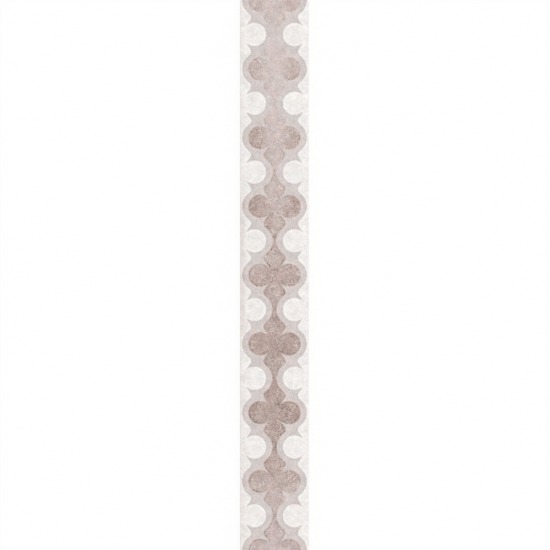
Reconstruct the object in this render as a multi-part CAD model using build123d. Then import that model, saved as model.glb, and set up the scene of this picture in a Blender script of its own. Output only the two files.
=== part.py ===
from build123d import *
from math import atan2, degrees
import os

# Border tile: a narrow dry-pressed ceramic strip with a flat glazed face, laid in a row
# to trim a wall of larger tiles. It is fired as one piece.
# Units are millimetres and degrees. The tile lies on its back with its face up and +Y along
# its length. The origin is at the middle of the back, on the plane of the key ribs.

# Outline at its widest, which is the parting line of the pressing
LENGTH = 600.0
WIDTH = 75.0
CORNER_RADIUS = 1.5

# Section, from the key ribs on the back up to the glazed face
THICKNESS = 9.0
ARRIS_RADIUS = 1.2
SIDE_DRAFT = 1.2
BACK_BEVEL_HEIGHT = 0.9
BACK_BEVEL_WIDTH = 0.75

# Keyed back: shallow pockets between crossing ribs, which the wall adhesive grips
KEY_SIZE = 13.5
KEY_CORNER_CUT = 2.0
KEY_DEPTH = 0.7
KEY_WALL_DRAFT = 30.0
RIB_WIDTH = 4.0
LEAST_RIM_WIDTH = 3.5


def pressed_body() -> Part:
    """The plain pressing: drafted sides, a rounded face arris and a bevelled back edge."""
    with BuildPart() as body:
        with BuildSketch(Plane.XY.offset(BACK_BEVEL_HEIGHT)) as outline:
            RectangleRounded(WIDTH, LENGTH, CORNER_RADIUS)
        extrude(amount=THICKNESS - BACK_BEVEL_HEIGHT, taper=SIDE_DRAFT)
        bevel_angle = degrees(atan2(BACK_BEVEL_WIDTH, BACK_BEVEL_HEIGHT))
        extrude(outline.sketch, amount=-BACK_BEVEL_HEIGHT, taper=bevel_angle)
        face = body.faces().sort_by(Axis.Z)[-1]
        fillet(face.edges(), radius=ARRIS_RADIUS)
    return body.part


def key_pocket() -> Part:
    """One key pocket as a solid to cut: a square with clipped corners and sloping walls."""
    with BuildPart() as pocket:
        with BuildSketch() as mouth:
            Rectangle(KEY_SIZE, KEY_SIZE)
            chamfer(mouth.vertices(), length=KEY_CORNER_CUT)
        extrude(amount=KEY_DEPTH, taper=KEY_WALL_DRAFT)
    return pocket.part


def keys_along(outline_span: float) -> int:
    """How many key pockets fit side by side, inside the plain rim, along one span of the back."""
    usable = outline_span - 2 * (BACK_BEVEL_WIDTH + LEAST_RIM_WIDTH)
    return int((usable + RIB_WIDTH) // (KEY_SIZE + RIB_WIDTH))


def border_tile() -> Part:
    """The fired tile: the pressing with its key pockets, centred on the back."""
    pitch = KEY_SIZE + RIB_WIDTH
    with BuildPart() as tile:
        add(pressed_body())
        with GridLocations(pitch, pitch, keys_along(WIDTH), keys_along(LENGTH)):
            add(key_pocket(), mode=Mode.SUBTRACT)
    return tile.part


os.makedirs("parts", exist_ok=True)
export_step(border_tile(), "parts/border_tile.step")
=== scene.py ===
"""Looks of the border tile, a pressed ceramic strip with a printed ornament of linked quatrefoils.

Geometry Nodes grow the tile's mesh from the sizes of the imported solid. One node material prints
and glazes its face, and leaves its sides and its keyed back as bare biscuit.
Meshes are in metres. The print and the glaze are laid out in millimetres.
"""
import logging
import math
from dataclasses import dataclass, field
from enum import Enum
from typing import Any, Mapping, Optional, Sequence, Union

import bpy
import numpy as np
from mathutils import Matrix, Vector


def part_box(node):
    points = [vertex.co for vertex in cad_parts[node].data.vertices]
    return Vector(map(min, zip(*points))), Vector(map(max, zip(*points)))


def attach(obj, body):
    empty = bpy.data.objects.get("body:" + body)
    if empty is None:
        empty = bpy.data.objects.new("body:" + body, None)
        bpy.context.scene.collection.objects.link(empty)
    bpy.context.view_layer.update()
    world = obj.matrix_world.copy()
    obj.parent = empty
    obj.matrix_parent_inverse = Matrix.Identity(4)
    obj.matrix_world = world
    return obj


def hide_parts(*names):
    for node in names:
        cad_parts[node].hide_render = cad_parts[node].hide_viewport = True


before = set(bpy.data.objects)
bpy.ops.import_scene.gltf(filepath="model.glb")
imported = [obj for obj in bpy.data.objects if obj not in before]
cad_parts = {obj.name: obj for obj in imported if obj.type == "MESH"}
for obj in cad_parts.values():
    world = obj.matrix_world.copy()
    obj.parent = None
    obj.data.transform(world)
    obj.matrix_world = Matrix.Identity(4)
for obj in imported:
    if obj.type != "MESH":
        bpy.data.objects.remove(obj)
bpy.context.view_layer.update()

LOG = logging.getLogger("border_tile")
MM = 0.001
NODE = "border_tile"
BODY = "root"
PHOTO_PIXELS = 550

Key = Union[str, int]
Settings = Optional[Mapping[str, Any]]
Inputs = Optional[Mapping[Key, Any]]
Value = Union["Wire", float]
Hue = Union["Wire", "Tint", "Cast"]
Stops = Sequence[tuple[float, Union[float, "Tint", "Cast"]]]
Profile = tuple[tuple[float, float], ...]


class Fade(Enum):
    """How a ramp goes from its low end to its high end."""

    STRAIGHT = "LINEAR"
    SOFT = "SMOOTHSTEP"


class Blend(Enum):
    """How one colour goes over another."""

    COVER = "MIX"
    MULTIPLY = "MULTIPLY"


@dataclass(frozen=True)
class Tint:
    """A colour as it looks on a display, in steps from 0 to 255."""

    red: float
    green: float
    blue: float

    def linear(self) -> tuple[float, ...]:
        """The colour as linear light by the usual curve of displays, with full cover."""
        steps = (self.red / 255, self.green / 255, self.blue / 255)
        return (*(s / 12.92 if s <= 0.04045 else ((s + 0.055) / 1.055) ** 2.4 for s in steps), 1.0)


@dataclass(frozen=True)
class Cast:
    """A slight colour cast, as a factor for each part of linear light."""

    red: float
    green: float
    blue: float

    def linear(self) -> tuple[float, ...]:
        """The factors, with full cover."""
        return (self.red, self.green, self.blue, 1.0)


class Wire:
    """An output socket, with operators that add Math nodes to its tree."""

    def __init__(self, graph: "Graph", socket: bpy.types.NodeSocket) -> None:
        """Hold a socket and the graph that it is in."""
        self.graph = graph
        self.socket = socket

    def __add__(self, other: Value) -> "Wire":
        """This value plus another."""
        return self.graph.math("ADD", self, other)

    def __sub__(self, other: Value) -> "Wire":
        """This value less another."""
        return self.graph.math("SUBTRACT", self, other)

    def __rsub__(self, other: float) -> "Wire":
        """A number less this value."""
        return self.graph.math("SUBTRACT", other, self)

    def __mul__(self, other: Value) -> "Wire":
        """This value times another."""
        return self.graph.math("MULTIPLY", self, other)

    def __truediv__(self, other: Value) -> "Wire":
        """This value divided by another."""
        return self.graph.math("DIVIDE", self, other)

    def __rtruediv__(self, other: float) -> "Wire":
        """A number divided by this value."""
        return self.graph.math("DIVIDE", other, self)

    def __neg__(self) -> "Wire":
        """This value with its sign turned."""
        return self.graph.math("MULTIPLY", self, -1.0)

    def __abs__(self) -> "Wire":
        """This value without its sign."""
        return self.graph.math("ABSOLUTE", self)

    __radd__ = __add__
    __rmul__ = __mul__


class Graph:
    """A node tree that is being built."""

    def __init__(self, tree: bpy.types.NodeTree) -> None:
        """Start on a tree."""
        self.tree = tree

    def node(self, kind: str, settings: Settings = None, inputs: Inputs = None) -> bpy.types.Node:
        """Add a node of any type.

        Args:
            kind: The node's type.
            settings: Its properties, which are set first; "stops" are a ramp's places and values.
            inputs: A value, tint, cast or wire for each input socket, by identifier or number.

        Returns:
            The new node.
        """
        made = self.tree.nodes.new(kind)
        for name, value in (settings or {}).items():
            if name == "stops":
                self._set_stops(made.color_ramp, value)
            else:
                setattr(made, name, value.value if isinstance(value, Enum) else value)
        for key, value in (inputs or {}).items():
            socket = self._socket(made.inputs, key)
            if isinstance(value, Wire):
                self.tree.links.new(value.socket, socket)
            else:
                socket.default_value = value.linear() if isinstance(value, (Tint, Cast)) else value
        return made

    def take(self, kind: str, settings: Settings = None, inputs: Inputs = None, output: Key = 0) -> Wire:
        """Add a node of any type and take one of its outputs, by identifier or number."""
        made = self.node(kind, settings, inputs)
        return Wire(self, self._socket(made.outputs, output))

    @staticmethod
    def _socket(sockets: Any, key: Key) -> bpy.types.NodeSocket:
        """Find a socket by its number or identifier."""
        named = (socket for socket in sockets if socket.identifier == key)
        return sockets[key] if isinstance(key, int) else next(named)

    @staticmethod
    def _set_stops(ramp: bpy.types.ColorRamp, stops: Stops) -> None:
        """Give a ramp its stops, from places and grey values, tints or casts.

        Args:
            ramp: The ramp of a new node, which has two stops.
            stops: A place from 0 to 1 and a value for each stop, in order.
        """
        while len(ramp.elements) < len(stops):
            ramp.elements.new(1.0)
        for element, (place, value) in zip(ramp.elements, stops):
            element.position = place
            plain = isinstance(value, (int, float))
            element.color = (value, value, value, 1.0) if plain else value.linear()

    def math(self, operation: str, *terms: Value) -> Wire:
        """Add a Math node with its values or wires in order."""
        return self.take("ShaderNodeMath", {"operation": operation}, dict(enumerate(terms)))

    def larger(self, first: Value, second: Value) -> Wire:
        """The larger of two values."""
        return self.math("MAXIMUM", first, second)

    def smaller(self, first: Value, second: Value) -> Wire:
        """The smaller of two values."""
        return self.math("MINIMUM", first, second)

    def sine(self, angle: Wire) -> Wire:
        """The sine of an angle."""
        return self.math("SINE", angle)

    def cosine(self, angle: Wire) -> Wire:
        """The cosine of an angle."""
        return self.math("COSINE", angle)

    def span(self, across: Wire, along: Wire) -> Wire:
        """The straight distance of two offsets at right angles."""
        return self.math("SQRT", across * across + along * along)

    def ramp(self, value: Wire, low: Value, high: Value, fade: Fade = Fade.STRAIGHT) -> Wire:
        """Turn a value into a share from 0 to 1.

        Args:
            value: What is measured.
            low: Where the share is 0.
            high: Where the share is 1, on either side of low.
            fade: How it goes between them.

        Returns:
            The share, held at its ends.
        """
        settings = {"clamp": True, "interpolation_type": fade}
        inputs = {"Value": value, "From Min": low, "From Max": high}
        return self.take("ShaderNodeMapRange", settings, inputs)

    def profile(self, share: Wire, stops: Stops) -> Wire:
        """The value or colour at a share of the way along a row of stops."""
        return self.take("ShaderNodeValToRGB", {"stops": stops}, {"Fac": share})

    def bump(self, value: Wire, middle: float, half: float) -> Wire:
        """A share that is 1 at a middle value and fades to 0 at half a width on either side."""
        return self.ramp(abs(value - middle), half, 0.0, Fade.SOFT)

    def between(self, share: Value, first: Value, second: Value) -> Wire:
        """The value at a share of the way from the first value to the second."""
        return first + (second - first) * share

    def split(self, vector: Wire) -> tuple[Wire, ...]:
        """The three parts of a vector."""
        made = self.node("ShaderNodeSeparateXYZ", inputs={"Vector": vector})
        return tuple(Wire(self, socket) for socket in made.outputs)

    def join(self, x: Value, y: Value, z: Value) -> Wire:
        """A vector from its three parts."""
        return self.take("ShaderNodeCombineXYZ", inputs={"X": x, "Y": y, "Z": z})

    def scaled(self, vector: Wire, factor: Value) -> Wire:
        """A vector times a number."""
        inputs = {"Vector": vector, "Scale": factor}
        return self.take("ShaderNodeVectorMath", {"operation": "SCALE"}, inputs)

    def noise(self, place: Wire, size: float, detail: float, seed: float) -> Wire:
        """Smooth noise about nought, within half a unit either way, in blotches of one size."""
        inputs = {"Vector": place, "W": seed, "Scale": 1.0 / size, "Detail": detail}
        return self.take("ShaderNodeTexNoise", {"noise_dimensions": "4D"}, inputs) - 0.5

    def mix(self, share: Value, under: Hue, over: Hue, blend: Blend = Blend.COVER) -> Wire:
        """Lay one colour over another.

        Args:
            share: How much of the upper colour shows.
            under: The lower colour.
            over: The upper colour.
            blend: How it goes over the lower one.

        Returns:
            The mixed colour.
        """
        settings = {"data_type": "RGBA", "blend_type": blend}
        inputs = {"Factor_Float": share, "A_Color": under, "B_Color": over}
        return self.take("ShaderNodeMix", settings, inputs, "Result_Color")


def emptied(owner: Union[bpy.types.Material, bpy.types.World]) -> Graph:
    """Empty the node tree of a new material or world.

    Args:
        owner: The material or world.

    Returns:
        Its tree, ready to be built.
    """
    owner.use_nodes = True
    owner.node_tree.nodes.clear()
    return Graph(owner.node_tree)


def new_object(name: str, data: bpy.types.ID) -> bpy.types.Object:
    """Put a new object into the scene.

    Args:
        name: Its name.
        data: Its mesh, light or camera.

    Returns:
        The object, at the origin.
    """
    made = bpy.data.objects.new(name, data)
    bpy.context.scene.collection.objects.link(made)
    return made


class GeometryGraph(Graph):
    """A Geometry Nodes tree that grows one plain mesh."""

    def __init__(self, name: str) -> None:
        """Start an empty tree with one geometry output.

        Args:
            name: The tree's name.
        """
        super().__init__(bpy.data.node_groups.new(name, "GeometryNodeTree"))
        self.tree.interface.new_socket("Geometry", in_out="OUTPUT", socket_type="NodeSocketGeometry")
        self.entry = self.tree.nodes.new("NodeGroupInput")
        self.exit = self.tree.nodes.new("NodeGroupOutput")
        self.chosen: dict[str, Any] = {}

    def size(self, name: str, value: Any) -> Wire:
        """Add a named input and choose its value.

        Args:
            name: The input's name.
            value: A number of millimetres or pieces, or a material.

        Returns:
            The input as a wire.
        """
        kinds = {float: "NodeSocketFloat", int: "NodeSocketInt"}
        kind = kinds.get(type(value), "NodeSocketMaterial")
        item = self.tree.interface.new_socket(name, in_out="INPUT", socket_type=kind)
        self.chosen[item.identifier] = value
        return Wire(self, self._socket(self.entry.outputs, item.identifier))

    def grid(self, size_x: Value, size_y: Value, count_x: Value, count_y: Value) -> Wire:
        """A flat grid about the origin, with so many points along X and Y."""
        inputs = {"Size X": size_x, "Size Y": size_y, "Vertices X": count_x, "Vertices Y": count_y}
        return self.take("GeometryNodeMeshGrid", inputs=inputs)

    def sheet(self, rows: int, stations: int) -> tuple[Wire, Wire, Wire]:
        """A grid of points that are placed by their row and station.

        Args:
            rows: How many rows it has.
            stations: How many points each row has.

        Returns:
            The grid, and each point's row and station, counted from 0.
        """
        grid = self.grid(rows - 1.0, stations - 1.0, rows, stations)
        x, y, _ = self.split(self.take("GeometryNodeInputPosition"))
        return grid, x + (rows - 1) / 2, y + (stations - 1) / 2

    def placed(self, geometry: Wire, x: Value, y: Value, z: Value) -> Wire:
        """Put each point of a geometry at a place."""
        inputs = {"Geometry": geometry, "Position": self.join(x, y, z)}
        return self.take("GeometryNodeSetPosition", inputs=inputs)

    def grow(self, geometry: Wire, name: str) -> bpy.types.Object:
        """Run the tree and keep what it makes.

        Args:
            geometry: What the tree puts out.
            name: The new object's name.

        Returns:
            An object at the origin with a plain mesh and no modifier.
        """
        self.tree.links.new(geometry.socket, self.exit.inputs[0])
        piece = new_object(name, bpy.data.meshes.new(name + "_seed"))
        modifier = piece.modifiers.new(self.tree.name, "NODES")
        modifier.node_group = self.tree
        for identifier, value in self.chosen.items():
            modifier[identifier] = value
        grown = piece.evaluated_get(bpy.context.evaluated_depsgraph_get())
        mesh = bpy.data.meshes.new_from_object(grown)
        mesh.name = name
        for index in reversed(range(len(mesh.materials))):
            if mesh.materials[index] is None:
                mesh.materials.pop(index=index)
        piece.modifiers.remove(modifier)
        piece.data = mesh
        return piece


@dataclass
class Spot:
    """Any place on the tile, as a vector in a tree and its three parts, in millimetres."""

    place: Wire

    def __post_init__(self) -> None:
        """Split the vector into its parts."""
        self.graph = self.place.graph
        self.x, self.y, self.z = self.graph.split(self.place)


@dataclass(frozen=True)
class Grain:
    """Noise about nought, of one size in millimetres."""

    size: float
    amount: float
    seed: float
    detail: float = 0.0

    def at(self, spot: Spot) -> Wire:
        """The noise at a spot, within half its amount either way."""
        return spot.graph.noise(spot.place, self.size, self.detail, self.seed) * self.amount


@dataclass(frozen=True)
class Patches:
    """Patches of one size in millimetres, as a share from 0 to 1 with a soft or hard border."""

    size: float
    low: float
    high: float
    seed: float
    detail: float = 1.0

    def at(self, spot: Spot) -> Wire:
        """The share at a spot."""
        noise = spot.graph.noise(spot.place, self.size, self.detail, self.seed)
        return spot.graph.ramp(noise, self.low, self.high)


def grains_at(spot: Spot, grains: Sequence[Grain]) -> Wire:
    """The sum of several grains at a spot."""
    first, *others = (grain.at(spot) for grain in grains)
    return sum(others, first)


@dataclass(frozen=True)
class LoopSteps:
    """How many segments the loop of a rounded rectangle has on its sides and in a corner."""

    across: int
    along: int
    corner: int

    def ends(self) -> list[int]:
        """The stations where its sides and corners end, from the start of the side along X."""
        counts = (self.across, self.corner, self.along, self.corner) * 2
        return [sum(counts[:index]) for index in range(len(counts) + 1)]

    def total(self) -> int:
        """How many segments go round."""
        return self.ends()[-1]

    def point(self, station: Wire, half_x: Wire, half_y: Wire, radius: Value) -> tuple[Wire, Wire]:
        """Find a station's place on the loop.

        Args:
            station: The station, anticlockwise seen from above.
            half_x: Half the distance between the centres of the corners along X.
            half_y: The same along Y.
            radius: The radius of the corners.

        Returns:
            Its X and Y.
        """
        graph, ends = station.graph, self.ends()
        legs = [graph.ramp(station, low, high) for low, high in zip(ends, ends[1:])]
        turn = (legs[1] + legs[3] + legs[5] + legs[7] - 1) * (math.pi / 2)
        x = half_x * (2 * legs[0] - 2 * legs[4] - 1) + graph.cosine(turn) * radius
        y = half_y * (2 * legs[2] - 2 * legs[6] - 1) + graph.sine(turn) * radius
        return x, y


@dataclass(frozen=True)
class PressedForm:
    """Outline and section of the pressing, in millimetres and degrees.

    A swell is how deep the pressing's slight unevenness goes, and the waves are its pattern.
    """

    width: float
    length: float
    thickness: float
    corner_radius: float = 1.5
    arris_radius: float = 1.2
    side_draft: float = 1.2
    bevel_height: float = 0.9
    bevel_width: float = 0.75
    face_swell: float = 0.03
    face_waves: Grain = Grain(28.0, 1.0, 3, 1)
    body_swell: float = 0.07
    body_waves: Grain = Grain(5.0, 1.0, 7, 2)


@dataclass(frozen=True)
class KeyPattern:
    """The pockets of the keyed back, in millimetres and degrees."""

    across: int = 4
    along: int = 34
    size: float = 13.5
    corner_radius: float = 3.0
    depth: float = 0.7
    wall_draft: float = 30.0
    rib_width: float = 4.0
    lip_radius: float = 0.35
    root_radius: float = 0.3
    hold: float = 0.08

    def pitch(self) -> float:
        """The distance from one pocket to the next."""
        return self.size + self.rib_width


@dataclass(frozen=True)
class MeshSteps:
    """How finely the tile's mesh is divided, and the angle in degrees past which an edge is crisp."""

    key_side: int = 1
    key_corner: int = 4
    key_round: int = 1
    plan_corner: int = 6
    arris: int = 6
    side: int = 5
    crisp_angle: float = 32.0
    weld: float = 0.02

    def per_key(self) -> int:
        """Segments along one side of a pocket's square of the back."""
        return self.key_side + self.key_corner


@dataclass
class TileGrower:
    """The Geometry Nodes tree of the tile, in millimetres until its last step."""

    form: PressedForm
    keys: KeyPattern
    steps: MeshSteps = field(default_factory=MeshSteps)

    def __post_init__(self) -> None:
        """Start the tree and name its inputs."""
        self.graph = GeometryGraph("pressed tile")
        form, keys, size = self.form, self.keys, self.graph.size
        self.width = size("Width", form.width)
        self.length = size("Length", form.length)
        self.thickness = size("Thickness", form.thickness)
        self.corner = size("Corner radius", form.corner_radius)
        self.arris = size("Arris radius", form.arris_radius)
        self.bevel_height = size("Bevel height", form.bevel_height)
        self.bevel_width = size("Bevel width", form.bevel_width)
        self.face_swell = size("Face swell", form.face_swell)
        self.body_swell = size("Body swell", form.body_swell)
        self.key_size = size("Key size", keys.size)
        self.key_corner = size("Key corner radius", keys.corner_radius)
        self.key_depth = size("Key depth", keys.depth)
        self.pitch = self.key_size + size("Rib width", keys.rib_width)
        self.keys_across = size("Keys across", keys.across)
        self.keys_along = size("Keys along", keys.along)
        self.half_x = self.width * 0.5 - self.corner
        self.half_y = self.length * 0.5 - self.corner

    def loop_steps(self) -> LoopSteps:
        """The segments of the outline, which line up with those of the pockets' squares."""
        per_key = self.steps.per_key()
        return LoopSteps(self.keys.across * per_key, self.keys.along * per_key, self.steps.plan_corner)

    def face(self) -> Wire:
        """Lay out the flat of the glazed face.

        Returns:
            A grid inside the arris.
        """
        graph, loop = self.graph, self.loop_steps()
        grid, row, station = graph.sheet(loop.across + 1, loop.along + 1)
        x = self.half_x * (row * (2 / loop.across) - 1)
        y = self.half_y * (station * (2 / loop.along) - 1)
        return graph.placed(grid, x, y, self.thickness)

    def edge(self) -> Wire:
        """Lay out the tile's edge and the plain rim of its back.

        Returns:
            A band that goes over the arris, the drafted side, the back bevel and the rim.
        """
        graph, loop, steps = self.graph, self.loop_steps(), self.steps
        arris_end = 1 + steps.arris
        side_end = arris_end + steps.side
        bevel_end, rim_end, field_end = side_end + 1, side_end + 2, side_end + 3
        grid, row, station = graph.sheet(field_end + 1, loop.total() + 1)

        draft = math.radians(self.form.side_draft)
        lean = graph.ramp(row, 1, arris_end) * (math.pi / 2 - draft)
        side_height = self.thickness - self.arris - self.bevel_height
        arc_centre = side_height * math.tan(draft) + self.arris / math.cos(draft)
        arc_inset = arc_centre - self.arris * graph.sine(lean)
        arc_height = self.thickness - self.arris + self.arris * graph.cosine(lean)

        down = graph.ramp(row, arris_end, side_end)
        under = graph.ramp(row, side_end, bevel_end)
        inward = graph.ramp(row, bevel_end, rim_end)
        start = 1 - graph.ramp(row, 0, 1)
        inset = arc_inset * (1 - down) + (self.corner - arc_inset) * start
        inset = inset + self.bevel_width * under + (self.corner - self.bevel_width) * inward
        height = graph.between(down, arc_height, self.bevel_height) - self.bevel_height * under

        to_field = graph.ramp(row, rim_end, field_end)
        shrink_x = graph.between(to_field, 1.0, self.pitch * self.keys_across * 0.5 / self.half_x)
        shrink_y = graph.between(to_field, 1.0, self.pitch * self.keys_along * 0.5 / self.half_y)
        x, y = loop.point(station, self.half_x, self.half_y, self.corner - inset)
        return graph.placed(grid, x * shrink_x, y * shrink_y, height)

    def key_cell(self) -> Wire:
        """Lay out one pocket of the back.

        Returns:
            The pocket with its square of the back, whose faces look down.
        """
        graph, keys, arc = self.graph, self.keys, self.steps.key_round
        loop = LoopSteps(self.steps.key_side, self.steps.key_side, self.steps.key_corner)
        lip_start, lip_end = 2, 2 + arc
        root_start, root_end = lip_end + 1, lip_end + 1 + arc
        floor_row, middle_row = root_end + 1, root_end + 2
        grid, row, station = graph.sheet(middle_row + 1, loop.total() + 1)

        steep = math.radians(90.0 - keys.wall_draft)
        half_turn = math.tan(steep / 2)
        lip_lean = graph.ramp(row, lip_start, lip_end) * steep
        lip_inset = graph.sine(lip_lean) * keys.lip_radius - keys.lip_radius * half_turn
        lip_height = (1 - graph.cosine(lip_lean)) * keys.lip_radius
        root_lean = (1 - graph.ramp(row, root_start, root_end)) * steep
        wall_run = self.key_depth * math.tan(math.radians(keys.wall_draft))
        root_inset = wall_run + keys.root_radius * half_turn - graph.sine(root_lean) * keys.root_radius
        root_height = self.key_depth - (1 - graph.cosine(root_lean)) * keys.root_radius

        on_root = graph.ramp(row, lip_end, root_start)
        before_lip = 1 - graph.ramp(row, lip_start - 1, lip_start)
        past_root = graph.ramp(row, root_end, floor_row)
        inset = graph.between(on_root, lip_inset, root_inset) + (past_root - before_lip) * keys.hold
        height = graph.between(on_root, lip_height, root_height)

        arc_place, half_pitch = self.key_size * 0.5 - self.key_corner, self.pitch * 0.5
        x, y = loop.point(station, arc_place, arc_place, self.key_corner - inset)
        shrink = 1 - graph.ramp(row, floor_row, middle_row)
        square = LoopSteps(self.steps.per_key(), self.steps.per_key(), 0)
        from_corner = graph.math("MODULO", station + self.steps.key_corner / 2, float(loop.total()))
        square_x, square_y = square.point(from_corner, half_pitch, half_pitch, 0.0)
        at_border = 1 - graph.ramp(row, 0, 1)
        x = graph.between(at_border, x * shrink, square_x)
        y = graph.between(at_border, y * shrink, square_y)
        return graph.placed(grid, x, y, height)

    def keyed_field(self) -> Wire:
        """Set all the pockets side by side.

        Returns:
            The back inside its plain rims.
        """
        graph, pitch, across, along = self.graph, self.pitch, self.keys_across, self.keys_along
        points = graph.grid(pitch * (across - 1), pitch * (along - 1), across, along)
        inputs = {"Points": points, "Instance": self.key_cell()}
        cells = graph.take("GeometryNodeInstanceOnPoints", inputs=inputs)
        return graph.take("GeometryNodeRealizeInstances", inputs={"Geometry": cells})

    def swollen(self, geometry: Wire) -> Wire:
        """Press slight unevenness into the closed tile, never outwards.

        Args:
            geometry: The welded tile.

        Returns:
            The tile with a gently wavy face and livelier sides and back.
        """
        graph, form = self.graph, self.form
        spot = Spot(graph.take("GeometryNodeInputPosition"))
        on_face = graph.ramp(spot.z, form.thickness - form.arris_radius, form.thickness)
        face_dip = (form.face_waves.at(spot) + 0.5) * self.face_swell
        body_dip = (form.body_waves.at(spot) + 0.5) * self.body_swell
        dip = graph.between(on_face, body_dip, face_dip)
        offset = graph.scaled(graph.take("GeometryNodeInputNormal"), -dip)
        return graph.take("GeometryNodeSetPosition", inputs={"Geometry": geometry, "Offset": offset})

    def grow(self, name: str, material: bpy.types.Material) -> bpy.types.Object:
        """Grow the whole tile.

        Args:
            name: The piece's name.
            material: Its finish.

        Returns:
            The tile as a plain closed mesh, in metres, at the origin.
        """
        graph, steps = self.graph, self.steps
        joined = graph.node("GeometryNodeJoinGeometry")
        for part in (self.keyed_field(), self.edge(), self.face()):
            graph.tree.links.new(part.socket, joined.inputs[0])
        inputs = {"Geometry": Wire(graph, joined.outputs[0]), "Distance": steps.weld}
        tile = self.swollen(graph.take("GeometryNodeMergeByDistance", inputs=inputs))
        metres = graph.scaled(graph.take("GeometryNodeInputPosition"), MM)
        tile = graph.take("GeometryNodeSetPosition", inputs={"Geometry": tile, "Position": metres})
        inputs = {"Geometry": tile, "Shade Smooth": True}
        tile = graph.take("GeometryNodeSetShadeSmooth", {"domain": "FACE"}, inputs)
        angle = graph.take("GeometryNodeInputMeshEdgeAngle")
        crisp = graph.math("GREATER_THAN", angle, math.radians(steps.crisp_angle))
        inputs = {"Geometry": tile, "Selection": crisp, "Shade Smooth": False}
        tile = graph.take("GeometryNodeSetShadeSmooth", {"domain": "EDGE"}, inputs)
        tile = graph.take("GeometryNodeRealizeInstances", inputs={"Geometry": tile})
        inputs = {"Geometry": tile, "Material": graph.size("Finish", material)}
        return graph.grow(graph.take("GeometryNodeSetMaterial", inputs=inputs), name)


@dataclass(frozen=True)
class QuatrefoilChain:
    """A chain of quatrefoils linked by narrow necks, in millimetres and degrees.

    Across is measured from the chain's axis, and along from the middle of the nearest quatrefoil.
    """

    pitch: float = 74.86
    lobe_offset: float = 15.9
    lobe_radius: float = 12.6
    notch_across: float = 6.76
    notch_along: float = 9.65
    hollow_across: float = 19.15
    hollow_along: float = 18.22
    hollow_centre: float = 21.55
    end_lobe_slope: float = 34.9
    end_lobe_round: float = 5.45

    def distance(self, across: Wire, along: Wire) -> Wire:
        """How far a place is from the chain's outline.

        Args:
            across: Distance from the axis.
            along: Distance from the middle of the nearest quatrefoil.

        Returns:
            The distance, below 0 inside the chain.
        """
        graph = across.graph
        past_across = across - self.notch_across
        past_along = along - self.notch_along
        side_lobe = graph.span(across - self.lobe_offset, along) - self.lobe_radius
        shoulder = self._shoulder(across, past_across, past_along)
        end_lobe = self._end_lobe(across, along, past_across, past_along)
        return graph.smaller(graph.smaller(side_lobe, shoulder), end_lobe)

    def _shoulder(self, across: Wire, past_across: Wire, past_along: Wire) -> Wire:
        """The straight from the notch to where it touches the side lobe, and all inside it.

        Args:
            across: Distance from the axis.
            past_across: Distance past the notch, across.
            past_along: Distance past the notch, along.

        Returns:
            The distance from the straight, which ends at its touching point.
        """
        reach_across = self.lobe_offset - self.notch_across
        reach = math.hypot(reach_across, self.notch_along)
        to_lobe = math.atan2(-self.notch_along, reach_across)
        lean = to_lobe + math.asin(self.lobe_radius / reach)
        touch = self.lobe_offset - self.lobe_radius * math.sin(lean)
        line = math.cos(lean) * past_along - math.sin(lean) * past_across
        return across.graph.larger(line, across - touch)

    def _end_lobe(self, across: Wire, along: Wire, past_across: Wire, past_along: Wire) -> Wire:
        """The end lobe and half a neck: a hollow curve and a straight, with a round corner.

        Args:
            across: Distance from the axis.
            along: Distance from the middle of the nearest quatrefoil.
            past_across: Distance past the notch, across.
            past_along: Distance past the notch, along.

        Returns:
            The distance from the end lobe's outline.
        """
        graph = across.graph
        hollow_x = (across - self.hollow_centre) / self.hollow_across
        hollow_y = (along - self.pitch / 2) / self.hollow_along
        size = (self.hollow_across + self.hollow_along) / 2
        hollow = (1 - graph.span(hollow_x, hollow_y)) * size + self.end_lobe_round
        slope = math.radians(self.end_lobe_slope)
        straight = math.cos(slope) * past_across - math.sin(slope) * past_along + self.end_lobe_round
        outside = graph.span(graph.larger(hollow, 0.0), graph.larger(straight, 0.0))
        inside = graph.smaller(graph.larger(hollow, straight), 0.0)
        return outside + inside - self.end_lobe_round


@dataclass(frozen=True)
class Layer:
    """What one finish gives the surface at a spot."""

    colour: Wire
    roughness: Wire
    height: Wire


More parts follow.
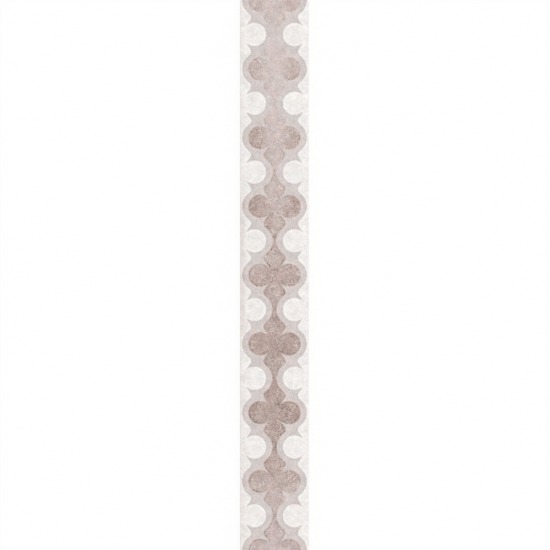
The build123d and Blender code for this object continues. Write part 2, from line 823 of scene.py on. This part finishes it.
@dataclass(frozen=True)
class PrintWear:
    """How strong the brown print is, from 0 where it has faded to 1 where it is whole.

    A stop is a share of the length, counted from the end at high Y, with a strength, or with
    millimetres where the necks are narrowed. The last row is the one at low Y.
    """

    lobes: Profile = (
        (0.0, 0.62), (0.125, 0.66), (0.25, 0.74), (0.5, 0.95), (0.625, 1.0), (0.75, 1.13), (0.875, 0.8),
        (1.0, 0.62),
    )
    middle: Profile = (
        (0.0, 0.42), (0.08, 0.16), (0.17, 0.22), (0.25, 0.4), (0.31, 0.6), (0.37, 0.53), (0.46, 0.85),
        (0.68, 1.08), (0.84, 1.1), (0.9, 0.5), (0.94, 0.7), (1.0, 0.38),
    )
    middle_half: float = 4.0
    lobes_half: float = 20.0
    faded_at: float = 0.15
    whole_at: float = 0.75
    blotches: tuple[Grain, ...] = (Grain(20.0, 1.15, 3911, 1), Grain(7.0, 1.1, 3912, 1))
    faded_blotches: float = 0.5
    flecks: tuple[Grain, ...] = (Grain(1.45, 2.8, 13), Grain(3.4, 0.8, 18), Grain(0.55, 1.1, 19))
    fleck_patches: Patches = Patches(13.0, -0.15, 0.15, 3914)
    fleck_least: float = 0.4
    fleck_gain: float = 0.9
    faded_flecks: float = 0.2
    whole_flecks: float = 0.82
    bare_specks: Patches = Patches(1.8, 0.18, 0.3, 15, 0)
    bare_loss: float = 0.8
    rim_depth: float = -1.4
    rim_half: float = 1.1
    rim_even: float = 0.12
    rim_spots: Grain = Grain(1.7, 6.5, 16)
    rim_patches: Patches = Patches(11.0, -0.1, 0.15, 3917)
    rim_lean: float = 0.012
    faded_rim: float = 0.05
    narrowed: Profile = ((0.25, 0.5), (0.44, 0.7), (0.56, 0.15), (0.62, 0.0))
    neck_half: float = 9.0
    last_from: float = 0.91
    last_full: float = 0.96
    last_flecks: float = 0.75
    last_rim: float = 0.5

    def necks(self, share: Wire, from_neck: Wire) -> Wire:
        """What wear adds to the distance from the outline, by the distance from a neck's middle."""
        graph = share.graph
        return graph.bump(from_neck, 0.0, self.neck_half) * graph.profile(share, self.narrowed)

    def even(self, spot: Spot, share: Wire) -> Wire:
        """How strong the print is without its flecks, blotches and rim.

        Args:
            spot: The place.
            share: How far along the length it is.

        Returns:
            The even strength.
        """
        graph = spot.graph
        outwards = graph.ramp(abs(spot.x), self.middle_half, self.lobes_half, Fade.SOFT)
        return graph.between(outwards, graph.profile(share, self.middle), graph.profile(share, self.lobes))

    def whole(self, even: Wire) -> Wire:
        """A share from 0 where the print has all but faded to 1 where it is whole."""
        return even.graph.ramp(even, self.faded_at, self.whole_at)

    def last(self, share: Wire) -> Wire:
        """A share from 0 to 1 in the last row, where the print is smoother and has a darker outline."""
        return share.graph.ramp(share, self.last_from, self.last_full)

    def strength(self, spot: Spot, even: Wire, distance: Wire, last: Wire) -> Wire:
        """How strong the print is.

        Args:
            spot: The place.
            even: The even strength there.
            distance: Distance from the brown chain's outline.
            last: Whether it is in the last row.

        Returns:
            The strength, which flecks and blotches take past 0 and 1.
        """
        graph, whole = spot.graph, self.whole(even)
        blotched = graph.between(whole, self.faded_blotches, 1.0)
        patchy = self.fleck_patches.at(spot)
        flecked = graph.between(whole, self.faded_flecks, self.whole_flecks)
        flecked = flecked * graph.between(last, 1.0, self.last_flecks)
        flecks = grains_at(spot, self.flecks) * (patchy * self.fleck_gain + self.fleck_least)
        bare = self.bare_specks.at(spot) * patchy * self.bare_loss * whole
        strength = even + grains_at(spot, self.blotches) * blotched + flecks * flecked - bare
        rim = self._rim(spot, distance, last)
        return strength + rim * graph.between(whole, self.faded_rim, 1.0)

    def _rim(self, spot: Spot, distance: Wire, last: Wire) -> Wire:
        """The darker dots along the print's outline.

        Args:
            spot: The place.
            distance: Distance from the brown chain's outline.
            last: Whether it is in the last row.

        Returns:
            What the rim adds to the strength of a whole print.
        """
        graph = spot.graph
        dots = graph.larger(self.rim_spots.at(spot), 0.0) * self.rim_patches.at(spot)
        rim = graph.bump(distance, self.rim_depth, self.rim_half)
        return rim * (1 - spot.x * self.rim_lean) * (dots + self.rim_even + last * self.last_rim)


@dataclass(frozen=True)
class PrintTones:
    """The tones of the print. Each brown stands at a share of the way from faded to deepest."""

    white: Tint = Tint(240.1, 236.2, 233.3)
    bright_white: Tint = Tint(247, 242.5, 239.5)
    grey: Tint = Tint(211.5, 202.4, 199.8)
    dark_grey: Tint = Tint(202, 196, 193)
    halo: Tint = Tint(220, 205.5, 201)
    browns: tuple[tuple[float, Tint], ...] = (
        (0.0, Tint(221.5, 209.6, 206.2)),
        (0.5, Tint(190.8, 171.4, 165.4)),
        (0.75, Tint(170, 148.1, 141.2)),
        (1.0, Tint(141, 119, 111.8)),
    )
    ink_casts: tuple[tuple[float, Cast], ...] = (
        (0.0, Cast(1.0, 1.0, 1.011)), (0.45, Cast(1.0, 1.0, 0.996)), (1.0, Cast(1.005, 0.998, 0.996)),
    )
    last_cast: Cast = Cast(1.0, 1.0, 1.022)
    faded_end: float = -0.21
    deepest_end: float = 1.9
    rosy: Cast = Cast(1.03, 0.985, 0.985)
    olive: Cast = Cast(0.97, 1.012, 1.005)
    cool: Cast = Cast(1.0, 1.0, 1.026)
    warm: Cast = Cast(1.0, 1.0, 0.974)
    stain: Cast = Cast(0.9, 0.853, 0.852)


@dataclass(frozen=True)
class Ornament:
    """The printed face: a brown chain down the middle and a white one on the two edges."""

    length: float
    chain: QuatrefoilChain = QuatrefoilChain()
    tones: PrintTones = PrintTones()
    wear: PrintWear = PrintWear()
    white_axis: float = 37.64
    shift_along: float = -0.16
    edge_soft: float = 0.5
    worn_soft: float = 2.5
    edge_ragged: Grain = Grain(2.2, 0.9, 21, 2)
    white_ragged: float = 0.3
    faint_ink: float = 0.4
    full_ink: float = 1.1
    rim_place: float = 1.3
    rim_half: float = 1.3
    halo_share: float = 0.75
    dark_share: float = 0.65
    glow_share: float = 0.75
    stain_start: float = -30.5
    stain_full: float = -34.0
    stain: Grain = Grain(22.0, 1.0, 4122, 2)
    stains: Profile = (
        (0.0, 0.2), (0.34, 0.2), (0.38, 1.0), (0.55, 0.95), (0.61, 0.6), (0.64, 0.2), (0.76, 0.4),
        (1.0, 0.4),
    )
    mottle: tuple[Grain, ...] = (Grain(1.35, 0.4, 24), Grain(4.2, 0.09, 27), Grain(0.5, 0.14, 28))
    white_mottle: float = 0.75
    cloud: Grain = Grain(9.0, 0.3, 5625, 1)
    tinted: Patches = Patches(10.0, -0.2, 0.2, 6923)
    tinted_share: float = 0.58
    tinted_white_loss: float = 0.08
    tinted_brown_gain: float = 0.4
    dabs: Patches = Patches(3.0, -0.25, 0.25, 26, 0)
    dabs_white_loss: float = 0.5
    # painted light: the print a little lighter towards high X and darker towards low X, as if lit from
    # that side
    lean: float = 0.0003

    def distances(self, spot: Spot) -> tuple[Wire, Wire]:
        """How far a place is from the outlines of the two chains.

        Args:
            spot: The place.

        Returns:
            The distances from the brown chain and from the white chain, below 0 inside them.
        """
        across, pitch = abs(spot.x), self.chain.pitch
        shifted = spot.y - self.shift_along
        along = abs(shifted - pitch * spot.graph.math("ROUND", shifted / pitch))
        ragged = self.edge_ragged.at(spot)
        brown = self.chain.distance(across, along) + ragged
        brown = brown + self.wear.necks(self.share_along(spot), pitch / 2 - along)
        white = self.chain.distance(self.white_axis - across, pitch / 2 - along)
        return brown, white + ragged * self.white_ragged

    def share_along(self, spot: Spot) -> Wire:
        """How far along the length a place is, from the end at high Y."""
        return 0.5 - spot.y / self.length

    def colour(self, spot: Spot, brown: Wire, white: Wire) -> Wire:
        """The print's colour.

        Args:
            spot: The place.
            brown: Distance from the brown chain's outline.
            white: Distance from the white chain's outline.

        Returns:
            The colour there.
        """
        graph, tones, share = spot.graph, self.tones, self.share_along(spot)
        even = self.wear.even(spot, share)
        whole = self.wear.whole(even)

        halo = graph.bump(brown, self.rim_place, self.rim_half) * whole
        ground = graph.mix(halo * self.halo_share, tones.grey, tones.halo)
        dark_rim = graph.bump(white, self.rim_place, self.rim_half)
        ground = graph.mix(dark_rim * self.dark_share, ground, tones.dark_grey)

        in_white = graph.ramp(white, self.edge_soft, -self.edge_soft, Fade.SOFT)
        worn = 1 - whole
        soft = worn * worn * self.worn_soft + self.edge_soft
        in_brown = graph.ramp(brown, soft, -soft, Fade.SOFT)
        glow = graph.bump(white, -self.rim_place, self.rim_half)
        white_ink = graph.mix(glow * self.glow_share, tones.white, tones.bright_white)
        colour = graph.mix(in_white, ground, white_ink)
        colour = graph.mix(in_brown, colour, self._brown_ink(spot, share, even, brown))
        colour = graph.mix(self._stained(spot, share), colour, tones.stain, Blend.MULTIPLY)
        return self._mottled_with_painted_light(spot, colour, in_white, in_brown)

    def _brown_ink(self, spot: Spot, share: Wire, even: Wire, distance: Wire) -> Wire:
        """The colour of the brown print.

        Args:
            spot: The place.
            share: How far along the length it is.
            even: How strong the print is there, without its flecks, blotches and rim.
            distance: Distance from the brown chain's outline.

        Returns:
            The ink's colour, a little cooler where it is faint and in the last row.
        """
        graph, tones, last = spot.graph, self.tones, self.wear.last(share)
        strength = self.wear.strength(spot, even, distance, last)
        ink = graph.profile(graph.ramp(strength, tones.faded_end, tones.deepest_end), tones.browns)
        cast = graph.profile(graph.ramp(even, self.faint_ink, self.full_ink), tones.ink_casts)
        ink = graph.mix(1.0, ink, cast, Blend.MULTIPLY)
        return graph.mix(last, ink, tones.last_cast, Blend.MULTIPLY)

    def _stained(self, spot: Spot, share: Wire) -> Wire:
        """How strong the rosy stain by the edge at low X is.

        Args:
            spot: The place.
            share: How far along the length it is.

        Returns:
            A share from 0 to 1.
        """
        graph = spot.graph
        uneven = graph.ramp(self.stain.at(spot) + graph.profile(share, self.stains), 0.0, 1.0)
        return graph.ramp(spot.x, self.stain_start, self.stain_full, Fade.SOFT) * uneven

    def _mottled_with_painted_light(self, spot: Spot, colour: Wire, in_white: Wire, in_brown: Wire) -> Wire:
        """The print's colour with the slight tints and mottle of the fired inks, and painted light that
        makes it a little lighter towards high X.

        Args:
            spot: The place.
            colour: The even colour.
            in_white: Whether the place is in the white chain.
            in_brown: Whether it is in the brown chain.

        Returns:
            The uneven colour.
        """
        graph, tones = spot.graph, self.tones
        cast = graph.mix(self.tinted.at(spot), tones.rosy, tones.olive)
        tinted = self.tinted_share - in_white * self.tinted_white_loss + in_brown * self.tinted_brown_gain
        colour = graph.mix(tinted, colour, cast, Blend.MULTIPLY)
        cast = graph.mix(self.dabs.at(spot), tones.cool, tones.warm)
        colour = graph.mix(1 - in_white * self.dabs_white_loss, colour, cast, Blend.MULTIPLY)
        fine = grains_at(spot, self.mottle) * graph.between(in_white, 1.0, self.white_mottle)
        # painted light: the lean lightens the print towards high X and darkens it towards low X
        mottle = 1 + fine + self.cloud.at(spot) + spot.x * self.lean
        return graph.mix(1.0, colour, mottle, Blend.MULTIPLY)


@dataclass(frozen=True)
class PrintedGlaze:
    """Satin matt glaze, printed on the face and plain where it turns down the sides."""

    form: PressedForm
    plain: Tint = Tint(237, 232, 227)
    print_low: float = 1.15
    print_high: float = 0.65
    roughness: float = 0.4
    brown_roughness: float = 0.05
    patchy: Grain = Grain(3.0, 0.16, 31, 2)
    relief: tuple[Grain, ...] = (Grain(2.4, 0.012, 32, 1), Grain(0.5, 0.005, 33, 2))

    def layer(self, spot: Spot) -> Layer:
        """Build the glaze.

        Args:
            spot: The place.

        Returns:
            Its colour, roughness and height there.
        """
        graph, ornament = spot.graph, Ornament(self.form.length)
        brown, white = ornament.distances(spot)
        printed = graph.ramp(self.form.thickness - spot.z, self.print_low, self.print_high)
        colour = graph.mix(printed, self.plain, ornament.colour(spot, brown, white))
        on_brown = graph.ramp(brown, ornament.edge_soft, -ornament.edge_soft) * printed
        roughness = self.patchy.at(spot) + on_brown * self.brown_roughness + self.roughness
        return Layer(colour, roughness, grains_at(spot, self.relief))


@dataclass(frozen=True)
class Biscuit:
    """The bare fired clay of the sides and the back."""

    clay: Tint = Tint(223, 207, 187)
    shade: Tint = Tint(205, 184, 160)
    wash: Tint = Tint(237, 231, 221)
    iron: Tint = Tint(128, 92, 66)
    roughness: float = 0.9
    clouds: Patches = Patches(26.0, -0.2, 0.25, 41, 2)
    cloud_share: float = 0.45
    streak_stretch: float = 0.06
    streaks: Grain = Grain(7.0, 1.0, 42, 2)
    smears: Grain = Grain(1.6, 0.7, 43, 2)
    wash_low: float = -0.1
    wash_high: float = 0.2
    wash_top: float = 0.3
    wash_full: float = 0.12
    wash_share: float = 0.75
    iron_specks: Patches = Patches(1.3, 0.27, 0.32, 44)
    iron_share: float = 0.6
    grit: Grain = Grain(0.7, 1.0, 45, 2)
    grit_tone: float = 0.3
    grit_roughness: float = 0.12
    relief: float = 0.05
    waves: Grain = Grain(3.2, 0.05, 46, 1)

    def layer(self, spot: Spot) -> Layer:
        """Build the biscuit, with the pale kiln wash that sticks to the rib faces.

        Args:
            spot: The place.

        Returns:
            Its colour, roughness and height there.
        """
        graph = spot.graph
        colour = graph.mix(self.clouds.at(spot) * self.cloud_share, self.clay, self.shade)
        stretched = Spot(graph.join(spot.x, spot.y * self.streak_stretch, spot.z))
        uneven = self.streaks.at(stretched) + self.smears.at(spot)
        wash = graph.ramp(uneven, self.wash_low, self.wash_high)
        wash = wash * graph.ramp(spot.z, self.wash_top, self.wash_full) * self.wash_share
        colour = graph.mix(wash, colour, self.wash)
        colour = graph.mix(self.iron_specks.at(spot) * self.iron_share, colour, self.iron)
        grit = self.grit.at(spot)
        colour = graph.mix(1.0, colour, 1 + grit * self.grit_tone, Blend.MULTIPLY)
        roughness = self.roughness + grit * self.grit_roughness
        return Layer(colour, roughness, grit * self.relief + self.waves.at(spot))


@dataclass(frozen=True)
class FiredFinish:
    """The tile's one material: printed glaze that ends in an uneven line on the biscuit's sides."""

    form: PressedForm
    glaze_drop: float = 1.9
    glaze_waver: Grain = Grain(14.0, 1.6, 51, 3)
    glaze_thickness: float = 0.12
    glaze_edge: float = 0.12
    scorch: Tint = Tint(198, 170, 142)
    scorch_drop: float = 0.2
    scorch_half: float = 0.5
    scorch_share: float = 0.5
    specular: float = 0.3

    def material(self) -> bpy.types.Material:
        """Build the material.

        Returns:
            The new material.
        """
        made = bpy.data.materials.new("printed_glaze_on_biscuit")
        graph = emptied(made)
        spot = Spot(graph.scaled(graph.take("ShaderNodeTexCoord", output="Object"), 1 / MM))
        glaze = PrintedGlaze(self.form).layer(spot)
        biscuit = Biscuit().layer(spot)
        above = spot.z - (self.form.thickness - self.glaze_drop) + self.glaze_waver.at(spot)
        glazed = graph.ramp(above, -self.glaze_edge, self.glaze_edge, Fade.SOFT)
        scorched = graph.bump(above, -self.scorch_drop, self.scorch_half) * self.scorch_share
        colour = graph.mix(scorched, biscuit.colour, self.scorch)
        colour = graph.mix(glazed, colour, glaze.colour)
        height = graph.between(glazed, biscuit.height, glaze.height + self.glaze_thickness)
        inputs = {
            "Base Color": colour,
            "Roughness": graph.between(glazed, biscuit.roughness, glaze.roughness),
            "Normal": graph.take("ShaderNodeBump", inputs={"Height": height, "Distance": MM}),
            "Specular IOR Level": self.specular,
        }
        surface = graph.take("ShaderNodeBsdfPrincipled", inputs=inputs)
        graph.node("ShaderNodeOutputMaterial", inputs={"Surface": surface})
        return made


class Side(Enum):
    """The flat views that the tile's texture map has besides the strips of its face."""

    BACK = 0
    LONG_HIGH = 1
    LONG_LOW = 2
    END_HIGH = 3
    END_LOW = 4


@dataclass(frozen=True)
class MapPatch:
    """One flat view of the tile on its texture map.

    The centre is in millimetres, the place in pixels, and the scale in pixels for a millimetre.
    """

    along_u: np.ndarray
    along_v: np.ndarray
    centre: np.ndarray
    place: tuple[float, float]
    scale: tuple[float, float]

    def pixels(self, points: np.ndarray) -> np.ndarray:
        """Where points of the tile, in millimetres, lie on the map."""
        offsets = (points - self.centre) @ np.array([self.along_u, self.along_v]).T
        return offsets * np.array(self.scale) + np.array(self.place)


@dataclass(frozen=True)
class TextureMap:
    """The tile's own UV map: its face in strips, with its ends, back and long sides beside them."""

    form: PressedForm
    keys: KeyPattern
    name: str = "OFBake"
    pixels: float = 1024.0
    gap: float = 6.0
    strips: int = 3
    strip_overlap: float = 1.2
    face_scale: float = 4.1
    face_lean: float = 0.5
    back_lean: float = -0.7

    def lay(self, mesh: bpy.types.Mesh) -> None:
        """Lay the map on the tile.

        Args:
            mesh: The tile's mesh, in metres.
        """
        points = self._read(mesh.vertices, "co", 3) / MM
        corners = self._read(mesh.loops, "vertex_index", 1, np.int32)[:, 0]
        totals = self._read(mesh.polygons, "loop_total", 1, np.int32)[:, 0]
        patch_of_corner = np.repeat(self._sorted_faces(mesh), totals)
        places = np.zeros((len(corners), 2))
        for index, patch in enumerate(self._patches()):
            chosen = patch_of_corner == index
            places[chosen] = patch.pixels(points[corners[chosen]])
        layer = mesh.uv_layers.new(name=self.name)
        layer.uv.foreach_set("vector", (places / self.pixels).astype(np.float32).ravel())

    @staticmethod
    def _read(items: Any, name: str, width: int, kind: type = np.float32) -> np.ndarray:
        """Read one property of all a mesh's items.

        Args:
            items: The mesh's vertices, loops or polygons.
            name: The property.
            width: How many numbers it has.
            kind: The numbers' type.

        Returns:
            A row for each item.
        """
        values = np.empty(len(items) * width, dtype=kind)
        items.foreach_get(name, values)
        return values.reshape(-1, width)

    def _sorted_faces(self, mesh: bpy.types.Mesh) -> np.ndarray:
        """Choose a patch for each of the mesh's faces.

        Args:
            mesh: The tile's mesh.

        Returns:
            The patch's number for each face.
        """
        x, y, z = (self._read(mesh.polygons, "center", 3) / MM).T
        out_x, out_y, out_z = self._read(mesh.polygons, "normal", 3).T
        long_side = np.where(out_x > 0, Side.LONG_HIGH.value, Side.LONG_LOW.value)
        end = np.where(out_y > 0, Side.END_HIGH.value, Side.END_LOW.value)
        patch = np.where(abs(out_x) >= abs(out_y), long_side, end)
        half_pitch = self.keys.pitch() / 2
        keyed = (abs(x) < self.keys.across * half_pitch) & (abs(y) < self.keys.along * half_pitch)
        keyed = keyed & (z < self.form.thickness / 2)
        patch = np.where(keyed | (out_z < self.back_lean), Side.BACK.value, patch)
        strip = np.clip(np.floor((y / self.form.length + 0.5) * self.strips), 0, self.strips - 1)
        return np.where(out_z > self.face_lean, len(Side) + strip, patch)

    def _patches(self) -> list[MapPatch]:
        """Lay out the map.

        Returns:
            The patches of the sides in their order, then the strips of the face.
        """
        form, gap, scale = self.form, self.gap, self.face_scale
        strip_length = form.length / self.strips
        strip_width = (strip_length + 2 * self.strip_overlap) * scale
        strip_height = form.width * scale
        column = strip_width + 2 * gap
        back_scale = (self.pixels - 2 * gap) / form.length
        back_width = form.width * back_scale
        side_width = (self.pixels - column - back_width - 3 * gap) / 2
        side_scale = (side_width / form.thickness, back_scale)
        side_place = column + back_width + gap + side_width / 2
        first, step = gap + strip_height / 2, strip_height + gap
        end_place = gap + self.strips * step + form.thickness * scale / 2
        right, up, out = np.eye(3)
        middle = out * form.thickness / 2
        half_map = self.pixels / 2
        patches = [
            MapPatch(right, -up, middle, (column + back_width / 2, half_map), (back_scale, back_scale)),
            MapPatch(out, -up, middle, (side_place, half_map), side_scale),
            MapPatch(out, up, middle, (side_place + side_width + gap, half_map), side_scale),
            MapPatch(-right, out, middle, (first, end_place), (scale, scale)),
            MapPatch(right, out, middle, (first + step, end_place), (scale, scale)),
        ]
        for strip in range(self.strips):
            centre = up * (strip - (self.strips - 1) / 2) * strip_length
            place = (gap + strip_width / 2, first + strip * step)
            patches.append(MapPatch(up, -right, centre, place, (scale, scale)))
        return patches


@dataclass
class BorderTile:
    """The fired tile."""

    form: PressedForm
    keys: KeyPattern = KeyPattern()
    name: str = "glazed_border_tile"

    def build(self) -> bpy.types.Object:
        """Grow the tile, and put it in the frame in place of its plain solid.

        Returns:
            The finished piece.
        """
        piece = TileGrower(self.form, self.keys).grow(self.name, FiredFinish(self.form).material())
        TextureMap(self.form, self.keys).lay(piece.data)
        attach(piece, BODY)
        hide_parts(NODE)
        LOG.info("%s: %d faces", piece.name, len(piece.data.polygons))
        return piece


@dataclass
class Studio:
    """Pale floor, soft light and the camera that looks down on the tile.

    The floor's size and the far clip are in metres, the lens and sensor in millimetres, and angles
    in degrees.
    """

    form: PressedForm
    lens: float = 200.0
    sensor: float = 36.0
    far_clip: float = 100.0
    sideways_pixels: float = 0.5
    cropped_pixels: float = 0.5
    world_light: float = 0.75
    key_share: float = 0.222
    key_tilt: float = 22.0
    key_turn: float = 95.0
    key_softness: float = 50.0
    floor_size: float = 40.0
    white: Tint = Tint(255, 255, 255)
    shadow_share: float = 0.1

    def build(self) -> None:
        """Set up the whole studio."""
        bpy.context.scene.view_settings.view_transform = "Standard"
        self.make_world()
        self.make_floor()
        self.make_lamp()
        self.make_camera()
        LOG.info("studio set up")

    def seen_directly(self, graph: Graph) -> Wire:
        """Whether a ray comes from the camera, a gloss or a clear surface.

        Args:
            graph: The tree of the world or the floor.

        Returns:
            1 for such a ray, and 0 for the others.
        """
        path = graph.node("ShaderNodeLightPath")
        names = ("Is Camera Ray", "Is Glossy Ray", "Is Transmission Ray")
        camera, glossy, transmission = (Wire(graph, path.outputs[name]) for name in names)
        return graph.larger(camera, graph.larger(glossy, transmission))

    def make_world(self) -> None:
        """White where it shows, and soft light from all round elsewhere."""
        world = bpy.data.worlds.new("white_room")
        graph = emptied(world)
        strength = graph.between(self.seen_directly(graph), self.world_light, 1.0)
        light = graph.take("ShaderNodeBackground", inputs={"Color": self.white, "Strength": strength})
        graph.node("ShaderNodeOutputWorld", inputs={"Surface": light})
        bpy.context.scene.world = world

    def make_floor(self) -> None:
        """A white floor that keeps the tile's soft shadow."""
        half = self.floor_size / 2
        corners = [(-half, -half, 0.0), (half, -half, 0.0), (half, half, 0.0), (-half, half, 0.0)]
        mesh = bpy.data.meshes.new("floor")
        mesh.from_pydata(corners, [], [(0, 1, 2, 3)])
        floor = new_object("floor", mesh)
        material = bpy.data.materials.new("white_floor")
        graph = emptied(material)
        lit = graph.take("ShaderNodeBsdfDiffuse", inputs={"Color": self.white})
        shown = graph.take("ShaderNodeEmission", inputs={"Color": self.white})
        share = self.seen_directly(graph) * (1 - self.shadow_share)
        surface = graph.take("ShaderNodeMixShader", inputs={0: share, 1: lit, 2: shown})
        graph.node("ShaderNodeOutputMaterial", inputs={"Surface": surface})
        mesh.materials.append(material)

    def make_lamp(self) -> None:
        """One wide soft lamp from the side, which with the room lights a level face fully."""
        lamp = bpy.data.lights.new("soft_lamp", "SUN")
        lamp.angle = math.radians(self.key_softness)
        lamp.energy = self.key_share * math.pi / math.cos(math.radians(self.key_tilt))
        holder = new_object("soft_lamp", lamp)
        holder.rotation_euler = (math.radians(self.key_tilt), 0.0, math.radians(self.key_turn))

    def make_camera(self) -> None:
        """A long lens straight above, with the face's length filling the picture."""
        camera = bpy.data.cameras.new("camera")
        camera.lens = self.lens
        camera.sensor_width = self.sensor
        camera.clip_end = self.far_clip
        pixel = self.form.length * MM / (PHOTO_PIXELS + 2 * self.cropped_pixels)
        distance = pixel * PHOTO_PIXELS * self.lens / self.sensor
        holder = new_object("camera", camera)
        holder.location = (self.sideways_pixels * pixel, 0.0, self.form.thickness * MM + distance)
        bpy.context.scene.camera = holder


def main() -> None:
    """Build the tile, then the studio round it."""
    logging.basicConfig(level=logging.INFO, format="%(name)s: %(message)s")
    low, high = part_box(NODE)
    width, length, thickness = ((high - low) / MM)[:]
    form = PressedForm(width, length, thickness)
    BorderTile(form).build()
    Studio(form).build()


if __name__ == "__main__":
    main()
